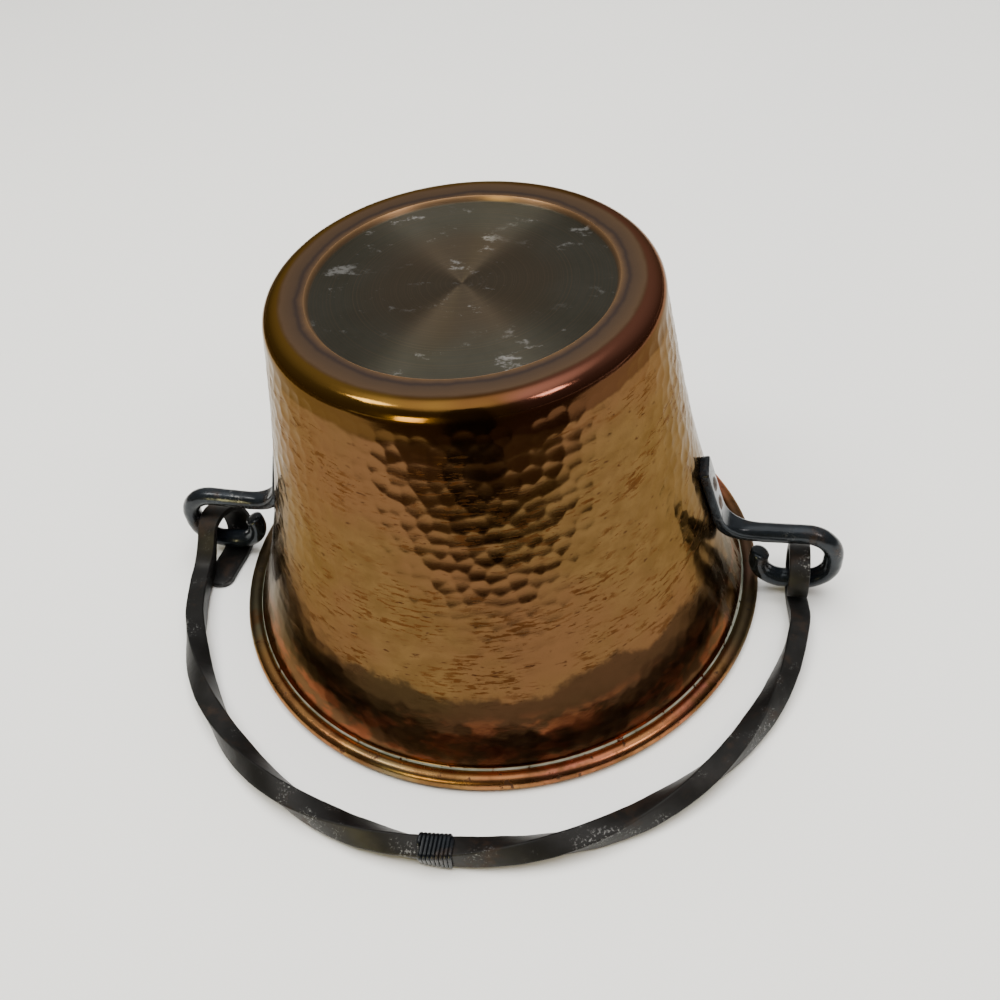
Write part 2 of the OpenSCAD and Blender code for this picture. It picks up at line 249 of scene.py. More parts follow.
def rounded_rectangle(half_w, half_t, corner, steps):
    """Outline of a rectangle with round corners, as (across, through) pairs, counter-clockwise."""
    outline = []
    for quarter, (sx, sy) in enumerate(((1, 1), (-1, 1), (-1, -1), (1, -1))):
        for i in range(steps + 1):
            a = (quarter + i / steps) * math.pi / 2
            outline.append((sx * (half_w - corner) + corner * math.cos(a),
                            sy * (half_t - corner) + corner * math.sin(a)))
    return np.array(outline)


def run_along(points):
    """Distance along a path at each of its points."""
    return np.concatenate([[0], np.cumsum(np.linalg.norm(np.diff(points, axis=0), axis=1))])


def lumps(points, size, height, seed=0):
    """Smooth random swelling of points in millimetres, for forged and handled surfaces."""
    shift = Vector((seed * 17.3, seed * 5.1, seed * 9.7))
    return np.array([noise.noise(Vector(p) / size + shift) * height for p in points])


# Pan


def wall_r(u):
    """Radius of the wall's outer face, where u goes from 0 at the corner to 1 at the bead."""
    return WALL_TOP_R + WALL_TAPER * u + WALL_BOW * u**2 + WALL_FLARE * u**3


def wall_slope(u):
    """Lean of the wall from the vertical, in radians."""
    return np.arctan((WALL_TAPER + 2 * WALL_BOW * u + 3 * WALL_FLARE * u**2) / WALL_H)


def wall_u(z):
    return (WALL_TOP_Z - z) / WALL_H


def corner_arc(depth, steps):
    """Profile of the round corner, at a depth below the outer face, from the base to the wall."""
    a = np.linspace(math.pi / 2, WALL_LEAN, steps)
    r = CORNER_R - depth
    return np.stack([CORNER_X + r * np.cos(a), CORNER_Z + r * np.sin(a)], -1)


def wall_line(depth, steps):
    """Profile of the wall, at a depth below the outer face, from below the corner to the bead."""
    u = np.linspace(0, 1, steps + 1)[1:]
    a = wall_slope(u)
    return np.stack([wall_r(u) - depth * np.cos(a), WALL_TOP_Z - u * WALL_H - depth * np.sin(a)], -1)


def lip_curve(depth, steps):
    """Profile of the step of the base, at a depth below the outer face, from the middle outward."""
    a = np.linspace(0, math.pi, steps)
    z = PAN_H - depth - RECESS_D * (1 + np.cos(a)) / 2
    return np.stack([LIP_R - LIP_W * (1 - a / math.pi), z], -1)


def revolve(profile, segments):
    """Rings of points round the axis, clockwise from above, one for each point of the profile."""
    a = np.linspace(2 * math.pi, 0, segments, endpoint=False)
    radius, height = profile[:, :1], np.repeat(profile[:, 1:], segments, axis=1)
    return np.stack([radius * np.cos(a), radius * np.sin(a), height], -1)


def blow_centres(rng):
    """Where the hammer fell: rows round the wall, each blow a little off its place."""
    centres = []
    z = HAMMER_TOP_Z
    while z > WALL_END_Z:
        u = wall_u(z)
        count = round(2 * math.pi * float(wall_r(u)) / BLOW_SPACING)
        turn = rng.uniform(0, 2 * math.pi)
        for i in range(count):
            a = turn + (i + rng.normal(0, BLOW_ASIDE)) * 2 * math.pi / count
            blow_z = z + rng.normal(0, BLOW_ASTRAY)
            blow_r = float(wall_r(wall_u(blow_z)))
            centres.append((blow_r * math.cos(a), blow_r * math.sin(a), blow_z))
        z -= ROW_SPACING * math.cos(float(wall_slope(u)))
    return centres


def hammered(points):
    """Depth of the hammer marks at points of the wall: the deepest of the nearest bowls."""
    rng = np.random.default_rng(SEED)
    centres = blow_centres(rng)
    strength = rng.uniform(WEAKEST_BLOW, STRONGEST_BLOW, len(centres))
    tree = kdtree.KDTree(len(centres))
    for i, c in enumerate(centres):
        tree.insert(c, i)
    tree.balance()
    depth = np.zeros(len(points))
    for n, p in enumerate(points):
        if p[2] < HAMMER_TOP_Z + BLOW_R:
            near = tree.find_n(p, NEAR_BLOWS)
            depth[n] = max(strength[i] * (1 - (d / BLOW_R) ** 2) for _, i, d in near)
    return BLOW_DEPTH * np.clip(depth, 0, None)


def hammer_fade(z):
    """Share of the marks' depth left at a height: less on the flare, and none at the bead."""
    at_bead = smooth((z - WALL_END_Z) / 3.0)
    return at_bead * (FADED_SHARE + (1 - FADED_SHARE) * smooth((z - FADED_Z) / FADE_H))


def wall_grid():
    """Points of the flat ring, round corner and hammered wall, and their outward normals."""
    flat = np.stack([np.linspace(LIP_R, CORNER_X, 5)[:-1], np.full(4, PAN_H)], -1)
    profile = np.concatenate([flat, corner_arc(0, 14), wall_line(0, WALL_ROWS)])
    rings = revolve(profile, WALL_SEGMENTS)
    slope = wall_slope(np.clip(wall_u(profile[:, 1]), 0, 1))
    depth = hammered(rings.reshape(-1, 3)).reshape(rings.shape[:2])
    depth = (np.roll(depth, 1, 1) + 4 * depth + np.roll(depth, -1, 1)) / 6
    depth *= hammer_fade(profile[:, 1])[:, None]
    around = rings[..., :2] / np.linalg.norm(rings[..., :2], axis=-1, keepdims=True)
    rings[..., :2] -= around * (depth * np.cos(slope)[:, None])[..., None]
    rings[..., 2] -= depth * np.sin(slope)[:, None]
    down = np.gradient(rings, axis=0)
    aside = np.roll(rings, -1, axis=1) - np.roll(rings, 1, axis=1)
    normals = np.cross(aside, down)
    normals /= np.linalg.norm(normals, axis=-1, keepdims=True)
    return rings, normals


def pan_outside(material):
    """Base ring, corner and wall, in two pieces that meet without a seam."""
    rings, normals = wall_grid()
    middle = len(rings) // 2
    for name, part in (("upper", slice(0, middle + 1)), ("lower", slice(middle, None))):
        points, faces = skin(rings[part], caps=False)
        piece = make_piece(f"pan_outside_{name}", points, faces, "pan", material, ["pan_body"])
        piece.data.normals_split_custom_set_from_vertices(normals[part].reshape(-1, 3).tolist())


def pan_base(material):
    """Sunk middle of the base, with the step up to the flat ring."""
    radii = np.concatenate([CENTRE_RADII, np.linspace(4, LIP_R - LIP_W, 26)[:-1]])
    disc = np.stack([radii, np.full(len(radii), PAN_H - RECESS_D)], -1)
    disc[:len(CENTRE_DIPS), 1] -= CENTRE_DIPS
    disc[:, 1] += BASE_SWELL * (1 - (disc[:, 0] / LIP_R) ** 2)
    profile = np.concatenate([disc, lip_curve(0, 9)])
    points, faces = skin(revolve(profile, BASE_SEGMENTS), caps=False)
    faces.append(list(range(BASE_SEGMENTS))[::-1])
    make_piece("pan_base", points, faces, "pan", material)


def pan_bead(material):
    """Rolled bead, from the groove outside round to the groove inside."""
    a = np.linspace(math.radians(150), math.radians(-200), 44)
    z = np.maximum(0, BEAD_Z + BEAD_R * np.sin(a))
    profile = np.stack([BEAD_X + BEAD_R * np.cos(a), z], -1)
    points, faces = skin(revolve(profile, BEAD_SEGMENTS), caps=False)
    make_piece("pan_bead", points, faces, "pan", material)


def pan_inside(material):
    """Inner face of the sheet, from the bead to the raised middle of the floor."""
    disc_r = np.linspace(LIP_R - LIP_W, 0.5, 12)[1:]
    disc = np.stack([disc_r, np.full(len(disc_r), PAN_H - RECESS_D - SHEET_T)], -1)
    profile = np.concatenate([wall_line(SHEET_T, 70)[::-1], corner_arc(SHEET_T, 8)[::-1],
                              lip_curve(SHEET_T, 7)[::-1], disc])
    points, faces = skin(revolve(profile, BASE_SEGMENTS), caps=False)
    last = (len(profile) - 1) * BASE_SEGMENTS
    faces.append([last + j for j in range(BASE_SEGMENTS)])
    make_piece("pan_inside", points, faces, "pan", material)


# Lugs and rivets


def arc(centre_x, centre_z, r, start, turn):
    """Points along an arc in the plane y = 0."""
    a = start + np.linspace(0, turn, max(2, round(abs(turn) * r / 0.5)))
    return np.stack([centre_x + r * np.cos(a), centre_z + r * np.sin(a)], -1)


def line(start, end):
    """Points between two points of the plane y = 0, without its ends."""
    start, end = np.array(start), np.array(end)
    n = max(3, round(np.linalg.norm(end - start) / 0.6))
    return start + np.linspace(0, 1, n)[1:-1, None] * (end - start)


def strap_frame():
    """Foot of the strap's line on the wall, and its lean."""
    foot_x = float(wall_r(wall_u(STRAP_FOOT_Z)))
    line_x = float(wall_r(wall_u(STRAP_FOOT_Z + STRAP_LINE_H)))
    return foot_x, math.atan((foot_x - line_x) / STRAP_LINE_H)


def eye_path(near_x, far_x, arm_z):
    """Eye of the lug from the end of its upper arm round to the tip of the curl."""
    low_z = HINGE_Z + EYE_FAR_BEND
    high_z = arm_z - EYE_FAR_BEND
    return [
        arc(far_x, high_z, EYE_FAR_BEND, math.pi / 2, -math.pi / 2),
        line((EYE_FAR_X, high_z), (EYE_FAR_X, low_z)),
        arc(far_x, low_z, EYE_FAR_BEND, 0, -math.pi / 2),
        line((far_x, HINGE_Z), (near_x, HINGE_Z)),
        arc(near_x, HINGE_Z + EYE_NEAR_BEND, EYE_NEAR_BEND, -math.pi / 2, -CURL_TURN),
    ]


def lug_path(top_z, dip):
    """Middle of the lug's bar in the plane y = 0 from the top of the strap to the tip of the curl.

    With it come the run along it, and how far it is already round: 0 on the strap, 1 on the arm.
    """
    foot_x, lean = strap_frame()
    off = (STRAP_T - STRAP_SUNK) / 2
    arm_z = HINGE_Z + EYE_H
    far_x = EYE_FAR_X - EYE_FAR_BEND

    def on_strap(down):
        return np.stack([foot_x + down * math.sin(lean) + off * math.cos(lean),
                         STRAP_FOOT_Z - down * math.cos(lean) + off * math.sin(lean)], -1)

    length = (top_z - STRAP_FOOT_Z) / math.cos(lean)
    strap = on_strap(np.arange(-length, -SHOULDER_AT, 0.4))
    corner = on_strap((STRAP_FOOT_Z + off * math.sin(lean) - arm_z + dip) / math.cos(lean))
    level = np.array([corner[0] + ARM_RUN, arm_z])
    leave = corner + (level - corner) * ROOT_REACH / ARM_RUN
    u = np.linspace(0, 1, ROOT_POINTS)[:, None]
    bend = on_strap(-SHOULDER_AT) * (1 - u) ** 2 + 2 * corner * u * (1 - u) + leave * u**2
    arm = [line(leave, level), line(level, (far_x, arm_z))]
    path = np.concatenate([strap, bend, *arm, *eye_path(EYE_NEAR_X + EYE_NEAR_BEND, far_x, arm_z)])
    made_round = np.ones(len(path))
    made_round[:len(strap)] = 0
    made_round[len(strap):len(strap) + ROOT_POINTS] = smooth(u[:, 0])
    return path, run_along(path), made_round


def lug_section(run, length, made_round):
    """Outline of the lug's bar, flat on the strap and round on the arm, rounded off at both ends."""
    half_w = STRAP_W / 2 * (1 - made_round) + BAR_R * made_round
    half_t = (STRAP_T + STRAP_SUNK) / 2 * (1 - made_round) + BAR_R * made_round
    corner = STRAP_EDGE * (1 - made_round) + (BAR_R - 0.01) * made_round
    if run < STRAP_CORNER:
        half_w -= STRAP_CORNER - math.sqrt(STRAP_CORNER**2 - (STRAP_CORNER - run) ** 2)
    tip = min(run / 0.5, (length - run) / 1.2, 1.0)
    shrink = (1 - math.sqrt(1 - (1 - tip) ** 2)) * (TOP_ROUND if run < 5 else TIP_ROUND)
    half_w -= shrink
    half_t -= shrink
    return rounded_rectangle(half_w, half_t, min(corner, half_t - 0.01, half_w - 0.01), 7)


def lug(side, material):
    """Strap on the wall, drawn down into a round bar that is bent into the eye."""
    path, run, made_round = lug_path(STRAP_TOP[side], ARM_DIP[side])
    points = np.stack([path[:, 0], np.zeros(len(path)), path[:, 1]], -1)
    ahead, across = frames_along(points, np.tile([0.0, 1.0, 0.0], (len(points), 1)))
    through = np.cross(ahead, across)
    rings = []
    for i, p in enumerate(points):
        outline = lug_section(run[i], run[-1], made_round[i])
        rings.append(p + outline[:, :1] * across[i] + outline[:, 1:] * through[i])
    rings = forged(np.array(rings), points, 1 if side == "left" else 2, 0.035)
    if side == "left":
        rings[..., 0] *= -1
        rings = rings[:, ::-1]
    points, faces = skin(rings)
    make_piece(f"forged_lug_{side}", points, faces, "pan", material, [f"lug_{side}"])


def forged(rings, points, seed, share):
    """Draws rings in towards their middles by a share that wanders over the surface."""
    flat = rings.reshape(-1, 3)
    middle = np.repeat(points, rings.shape[1], axis=0)
    kept = 1 - share * 0.6 + lumps(flat, 9.0, share, seed) + lumps(flat, 3.0, share * 0.35, seed + 20)
    return (middle + (flat - middle) * np.minimum(kept, 1.0)[:, None]).reshape(rings.shape)


def rivet_head(centre, out, rim, base, head_h, seed):
    """Rings of a low dome that stands on the strap or the sheet, and its faces, a little battered."""
    dome_r = (HEAD_R**2 + head_h**2) / (2 * head_h)
    a = math.asin(HEAD_R / dome_r) * (1 - np.linspace(0, 0.93, HEAD_RINGS))
    heights = dome_r * np.cos(a) - dome_r + head_h
    rings = [centre + out * (base + h) + r * rim for r, h in zip(dome_r * np.sin(a), heights)]
    flat = np.array(rings).reshape(-1, 3)
    last = (HEAD_RINGS - 1) * HEAD_POINTS
    faces = grid_faces(HEAD_RINGS, HEAD_POINTS) + [[last + j for j in range(HEAD_POINTS)]]
    return flat - out * np.abs(lumps(flat, 1.8, 0.3, seed))[:, None], faces


def rivet(side, level, material, seed):
    """Hammered rivet heads on the strap and inside the pan."""
    foot_x, lean = strap_frame()
    z = RIVET_ZS[level]
    out = np.array([math.cos(lean), 0.0, math.sin(lean)])
    aside = np.array([0.0, 1.0, 0.0])
    up = np.cross(out, aside)
    centre = np.array([foot_x - (z - STRAP_FOOT_Z) * math.tan(lean), 0.0, z])
    turn = np.linspace(0, 2 * math.pi, HEAD_POINTS, endpoint=False)
    rim = np.cos(turn)[:, None] * aside + np.sin(turn)[:, None] * up
    outer, outer_faces = rivet_head(centre, out, rim, STRAP_T, HEAD_H, seed)
    inner, inner_faces = rivet_head(centre, -out, rim, SHEET_T + 0.4, INNER_HEAD_H, seed)
    # Each head's faces are turned over where it would show its back
    outer_way, inner_way = (-1, 1) if side == "left" else (1, -1)
    faces = [face[::outer_way] for face in outer_faces]
    faces += [[len(outer) + v for v in face[::inner_way]] for face in inner_faces]
    points = np.concatenate([outer, inner])
    if side == "left":
        points[:, 0] *= -1
    make_piece(f"rivet_heads_{side}_{level}", points, faces, "pan", material,
               [f"rivet_{side}_{level}"])


# Bail and wire wrap


def bar_point(t):
    """Middle of the square bar: a little fuller than half an ellipse, and a little askew."""
    k = 1 + BAIL_FULLNESS * np.sin(2 * t) ** 2
    x = BAIL_HALF_X * k * np.cos(t) - BAIL_SLID
    y = -BAIL_REACH * k * np.sin(t) - BAIL_ASKEW * np.cos(t)
    return np.stack([x, y, np.full_like(t, BAR_Z)], -1)


def bar_dir(t):
    d = bar_point(t + 0.005) - bar_point(t - 0.005)
    return d / np.linalg.norm(d, axis=1)[:, None]


def bar_out(t):
    """Level direction square to the bar, away from the pan's axis."""
    d = bar_dir(t)
    return np.stack([-d[:, 1], d[:, 0], 0 * t], -1)


def bar_twist(t):
    u = (t - BAR_START_T) / (math.pi - 2 * BAR_START_T)
    return BAIL_TWIST * np.clip((u - TWIST_FROM) / (TWIST_TO - TWIST_FROM), 0, 1)


def hook_point(x, a):
    """Middle of a hook's flat, at an angle round the lower arm of the eye."""
    mid_r = HOOK_R - HOOK_T / 2
    return np.stack([x * np.ones_like(a), mid_r * np.cos(a), HOOK_R + mid_r * np.sin(a)], -1)


def hook_dir(a):
    return np.array([0.0, math.sin(a), -math.cos(a)])


def joined(start, start_dir, end, end_dir, pull):
    """Run of points from a start to an end, without both, that leaves and arrives smoothly."""
    leaving = start + pull * start_dir
    arriving = end - pull * end_dir
    u = RUN_SHARES[:, None]
    return (start * (1 - u) ** 3 + 3 * leaving * u * (1 - u) ** 2
            + 3 * arriving * u**2 * (1 - u) + end * u**3)


def bail_line():
    """Middle line of the bail from the right hook's tip to the left hook's tail."""
    start_t = np.array([BAR_START_T])
    end_t = math.pi - start_t
    foot_turn = -math.pi / 2
    right_hook = hook_point(HOOK_RIGHT_X, TIP_TURN - np.linspace(0, TIP_TURN - foot_turn, HOOK_POINTS))
    right_run = joined(hook_point(HOOK_RIGHT_X, np.array([foot_turn]))[0], hook_dir(foot_turn),
                       bar_point(start_t)[0], bar_dir(start_t)[0], 8)
    left_run = joined(bar_point(end_t)[0], bar_dir(end_t)[0],
                      hook_point(HOOK_LEFT_X, np.array([LEFT_TURN]))[0], hook_dir(LEFT_TURN), 7)
    left_x = HOOK_LEFT_X + (TAIL_X - HOOK_LEFT_X) * smooth(LEFT_SHARES)
    left_hook = hook_point(left_x, LEFT_TURN - LEFT_SHARES * (LEFT_TURN - foot_turn))
    tail_x = TAIL_X - TAIL_ASIDE * smooth(TAIL_SHARES)
    tail = np.stack([tail_x, -TAIL_SHARES * BAR_START_Y, np.full(TAIL_POINTS, HOOK_T / 2)], -1)
    return np.concatenate([right_hook, right_run, bar_point(BAR_TS), left_run, left_hook, tail])


def bail_shape():
    """Along the bail: its outward direction, how square it is, its twist, and the width of its flats."""
    aside = np.array([1.0, 0.0, 0.0])
    before = HOOK_POINTS + RUN_POINTS
    after = RUN_POINTS + LEFT_POINTS + TAIL_POINTS
    out = np.concatenate([np.tile(aside, (before, 1)), bar_out(BAR_TS), np.tile(-aside, (after, 1))])
    square = np.concatenate([np.zeros(HOOK_POINTS), smooth(RUN_SHARES), np.ones(BAR_POINTS),
                             smooth(1 - RUN_SHARES), np.zeros(LEFT_POINTS + TAIL_POINTS)])
    twist = np.concatenate([np.zeros(before), bar_twist(BAR_TS), np.full(after, BAIL_TWIST)])
    round_end = (TAIL_SHARES - TAIL_ROUND_AT) / (1.01 - TAIL_ROUND_AT) * (TAIL_SHARES > TAIL_ROUND_AT)
    width = np.concatenate([np.full(before + BAR_POINTS + RUN_POINTS, HOOK_W),
                            HOOK_W + (TAIL_W - HOOK_W) * smooth(2.2 * LEFT_SHARES),
                            TAIL_W * np.sqrt(np.clip(1 - round_end**2, 0.02, 1))])
    return out, square, twist, width


def turned(ahead, out, twist):
    """Axes of a section, across and through, turned about the path by twist."""
    through = np.cross(ahead, out)
    c, s = np.cos(twist)[:, None], np.sin(twist)[:, None]
    return out * c - through * s, through * c + out * s


def bail_section(square, width, from_end):
    """Outline of the bail, flat at the hooks and square along the bar, with its ends eased."""
    half_w = (width * (1 - square) + BAR_W * square) / 2
    half_t = (HOOK_T * (1 - square) + BAR_W * square) / 2
    corner = min(HOOK_EDGE * (1 - square) + BAR_EDGE * square, half_w - 0.01)
    if from_end < HOOK_EDGE:
        shrink = HOOK_EDGE - math.sqrt(HOOK_EDGE**2 - (HOOK_EDGE - from_end) ** 2)
        half_w, half_t = half_w - shrink, half_t - shrink
    return rounded_rectangle(half_w, half_t, corner, 4)


def bail(material):
    """One square bar, twisted along its bow, with both ends flattened and bent round the eyes."""
    points = bail_line()
    out, square, twist, width = bail_shape()
    ahead, out = frames_along(points, out)
    across, through = turned(ahead, out, twist)
    run = run_along(points)
    rings = []
    for i, p in enumerate(points):
        outline = bail_section(square[i], width[i], min(run[i], run[-1] - run[i]))
        rings.append(p + outline[:, :1] * across[i] + outline[:, 1:] * through[i])
    points, faces = skin(forged(np.array(rings), points, 3, 0.04))
    make_piece("forged_bail", points, faces, "bail", material, ["bail"])


def wrap_outline(steps):
    """Places and outward directions of the wire round the bar's section, one side after another."""
    flat = WRAP_HALF - WRAP_CORNER
    side, k = steps // WRAP_SIDE_STEPS, steps % WRAP_SIDE_STEPS
    a = np.minimum(k, WRAP_CORNER_STEPS) * math.pi / 2 / WRAP_CORNER_STEPS
    place = np.stack([flat + WRAP_CORNER * np.cos(a), flat + WRAP_CORNER * np.sin(a)], -1)
    on_flat = k > WRAP_CORNER_STEPS
    passed = (k[on_flat] - WRAP_CORNER_STEPS) / (WRAP_SIDE_STEPS - WRAP_CORNER_STEPS)
    place[on_flat, 0] = flat * (1 - 2 * passed)
    place[on_flat, 1] = WRAP_HALF
    normal = np.stack([np.where(on_flat, 0, np.cos(a)), np.where(on_flat, 1, np.sin(a))], -1)
    c, s = np.cos(side * math.pi / 2), np.sin(side * math.pi / 2)

    def spun(v):
        return np.stack([v[:, 0] * c - v[:, 1] * s, v[:, 0] * s + v[:, 1] * c], -1)

    return spun(place), spun(normal)


def wire_wrap(material):
    """One unbroken wire round the bar's middle, following the bar's twist."""
    per_turn = 4 * WRAP_SIDE_STEPS
    count = WRAP_TURNS * per_turn + 2
    i = np.arange(count + 1)
    along = (i - count / 2) * WRAP_PITCH / per_turn
    t = math.pi / 2 - (WRAP_OFFSET + along) / BAIL_HALF_X
    across, through = turned(bar_dir(t), bar_out(t), bar_twist(t))
    place, normal = wrap_outline((i - 2) % per_turn)
    points = bar_point(t) + across * place[:, :1] + through * place[:, 1:]
    ahead, outward = frames_along(points, across * normal[:, :1] + through * normal[:, 1:])
    aside = np.cross(ahead, outward)
    turn = np.linspace(0, 2 * math.pi, WIRE_POINTS, endpoint=False)[:, None]
    size = np.ones(len(points))
    size[[0, -1]] = WIRE_END
    section = WRAP_R * outward[:, None] * np.cos(turn) + WIRE_HALF_W * aside[:, None] * np.sin(turn)
    points, faces = skin(points[:, None] + size[:, None, None] * section)
    make_piece("wound_wire", points, faces, "bail", material, ["bail_wire_wrap"])


# Materials


class Nodes:
    """Short forms for building a node material."""

    def __init__(self, name):
        self.material = bpy.data.materials.new(name)
        self.material.use_nodes = True
        self.tree = self.material.node_tree
        self.shader = self.tree.nodes["Principled BSDF"]

    def add(self, kind, **inputs):
        node = self.tree.nodes.new(kind)
        for key, value in inputs.items():
            self.plug(value, node.inputs[key])
        return node

    def plug(self, value, socket):
        if isinstance(value, bpy.types.NodeSocket):
            self.tree.links.new(value, socket)
        elif isinstance(value, bpy.types.Node):
            self.tree.links.new(value.outputs[0], socket)
        else:
            socket.default_value = value

    def place(self):
        """Position on the object in metres."""
        return self.add("ShaderNodeTexCoord").outputs["Object"]

    def math(self, operation, a, b=0.0):
        node = self.tree.nodes.new("ShaderNodeMath")
        node.operation = operation
        self.plug(a, node.inputs[0])
        self.plug(b, node.inputs[1])
        return node.outputs[0]

    def plus(self, a, b):
        return self.math("ADD", a, b)

    def minus(self, a, b):
        return self.math("SUBTRACT", a, b)

    def times(self, a, b):
        return self.math("MULTIPLY", a, b)

    def larger(self, a, b):
        return self.math("MAXIMUM", a, b)

    def size_of(self, a):
        return self.math("ABSOLUTE", a)

    def scaled(self, vector, x, y, z):
        node = self.tree.nodes.new("ShaderNodeVectorMath")
        node.operation = "MULTIPLY"
        self.plug(vector, node.inputs[0])
        node.inputs[1].default_value = (x, y, z)
        return node.outputs[0]

    def parts(self, place):
        """X, Y and Z of a place, in metres."""
        return self.add("ShaderNodeSeparateXYZ", Vector=place).outputs

    def radius(self, place):
        """Distance of a place from the pan's axis, in metres."""
        length = self.tree.nodes.new("ShaderNodeVectorMath")
        length.operation = "LENGTH"
        self.plug(self.scaled(place, 1.0, 1.0, 0.0), length.inputs[0])
        return length.outputs["Value"]

    def noise(self, vector, scale, detail=4.0, roughness=0.55):
        node = self.add("ShaderNodeTexNoise", Vector=vector, Scale=scale, Detail=detail,
                        Roughness=roughness)
        return node.outputs["Fac"]

    def grain(self, place, x, y, z, detail=4.0, roughness=0.55):
        """Noise of its own scale along each axis, for streaks."""
        return self.noise(self.scaled(place, x, y, z), 1.0, detail, roughness)

    def astray(self, place, scale, detail, roughness, reach):
        """Noise about 0, for wavy edges."""
        return self.times(self.minus(self.noise(place, scale, detail, roughness), 0.5), reach)

    def step(self, value, low, high):
        """0 below low, 1 above high, smooth between."""
        node = self.tree.nodes.new("ShaderNodeMapRange")
        node.interpolation_type = "SMOOTHSTEP"
        self.plug(value, node.inputs["Value"])
        node.inputs["From Min"].default_value = low
        node.inputs["From Max"].default_value = high
        return node.outputs["Result"]

    def mix(self, share, a, b):
        node = self.tree.nodes.new("ShaderNodeMix")
        node.data_type = "RGBA"
        self.plug(share, node.inputs["Factor"])
        for value, socket in ((a, node.inputs[6]), (b, node.inputs[7])):
            self.plug((*value, 1.0) if isinstance(value, tuple) else value, socket)
        return node.outputs[2]

    def ramp(self, value, *stops):
        node = self.tree.nodes.new("ShaderNodeValToRGB")
        self.plug(value, node.inputs["Fac"])
        elements = node.color_ramp.elements
        while len(elements) < len(stops):
            elements.new(0.5)
        for element, (position, colour) in zip(elements, stops):
            element.position = position
            element.color = (*colour, 1.0)
        return node.outputs["Color"]

    def bump(self, height, distance, strength=1.0, normal=None):
        node = self.add("ShaderNodeBump", Height=height, Distance=distance, Strength=strength)
        if normal is not None:
            self.plug(normal, node.inputs["Normal"])
        return node.outputs["Normal"]

    def finish(self, **inputs):
        for key, value in inputs.items():
            value = (*value, 1.0) if isinstance(value, tuple) and len(value) == 3 else value
            self.plug(value, self.shader.inputs[key.replace("_", " ")])
        return self.material


# Colour of copper's reflection at a grazing angle
COPPER_EDGE = (0.66, 0.60, 0.52)


def rubbed_wall(n, place, z, broad, mottle):
    """Golden wall, mottled, with short brown dashes that run round it in clusters, and pits."""
    dashes = n.step(n.grain(place, 150.0, 150.0, 760.0, 4.0, 0.62), 0.52, 0.60)
    clusters = n.step(n.grain(place, 34.0, 34.0, 60.0, 3.0, 0.6), 0.42, 0.58)
    pits = n.step(n.grain(place, 240.0, 240.0, 900.0, 3.0, 0.5), 0.66, 0.71)
    on_wall = n.times(n.step(z, 0.141, 0.134), n.step(z, 0.026, 0.040))
    dash = n.times(dashes, n.times(clusters, on_wall))
    pit = n.times(pits, on_wall)
    gold = n.mix(n.step(mottle, 0.34, 0.66), (0.102, 0.056, 0.018), (0.131, 0.075, 0.026))
    rosy = n.mix(n.step(broad, 0.42, 0.66), gold, (0.124, 0.061, 0.025))
    dashed = n.mix(n.times(dash, 0.85), rosy, (0.086, 0.031, 0.008))
    return n.mix(pit, dashed, (0.05, 0.02, 0.008)), dash, pit


def dark_flare(n, place, z, broad, colour):
    """Dull dark brown on the flare below a wavy edge, lighter towards the bead and red in places near
    it.
    """
    flare = n.step(n.plus(z, n.astray(place, 24.0, 6.0, 0.62, 0.045)), 0.0405, 0.0360)
    reds = n.step(n.grain(place, 75.0, 75.0, 170.0, 3.0, 0.6), 0.46, 0.60)
    reds = n.times(reds, n.step(z, 0.030, 0.016))
    flare_brown = n.mix(n.step(broad, 0.4, 0.6), (0.037, 0.022, 0.009), (0.048, 0.024, 0.011))
    flare_brown = n.mix(n.step(z, 0.026, 0.012), flare_brown, (0.130, 0.064, 0.028))
    flare_brown = n.mix(reds, flare_brown, (0.240, 0.076, 0.032))
    return n.mix(flare, colour, flare_brown)


def corner_tints_and_painted_reflection(n, place, x, z, colour):
    """Polished corner: heat colours from yellow on the left to pink on the right, painted dark
    reflection below.
    """
    shades = n.times(n.grain(place, 26.0, 26.0, 90.0, 2.0), 0.6)
    shift = n.plus(n.times(x, -6.0), 0.28)
    tints = n.ramp(n.plus(shades, shift), (0.32, (0.180, 0.070, 0.046)),
                   (0.45, (0.130, 0.058, 0.018)), (0.62, (0.215, 0.118, 0.025)))
    edge_z = n.plus(z, n.astray(place, 48.0, 4.0, 0.6, 0.009))
    colour = n.mix(n.step(edge_z, 0.1405, 0.1418), colour, tints)
    # Painted reflection: a dark band on the lower part of the corner stands in for the dark room
    # mirrored there
    band = n.times(n.step(edge_z, 0.1400, 0.1414), n.step(z, 0.1505, 0.1475))
    return n.mix(n.times(band, 0.88), colour, (0.052, 0.024, 0.008))


def base_ring(n, place, z, colour):
    """Flat ring of the base: copper at the step, then a dark and a brown ring, all a little wavy."""
    radius = n.radius(place)
    wavy = n.plus(radius, n.astray(place, 45.0, 4.0, 0.65, 0.004))
    ring = n.ramp(n.times(wavy, 10.0),
                  (0.548, (0.42, 0.25, 0.13)), (0.564, (0.24, 0.155, 0.105)),
                  (0.580, (0.11, 0.084, 0.080)), (0.594, (0.19, 0.130, 0.095)),
                  (0.632, (0.24, 0.155, 0.100)), (0.658, (0.12, 0.062, 0.030)))
    on_ring = n.times(n.step(z, 0.1512, 0.1530), n.step(radius, 0.0652, 0.0634))
    return n.mix(on_ring, colour, ring)


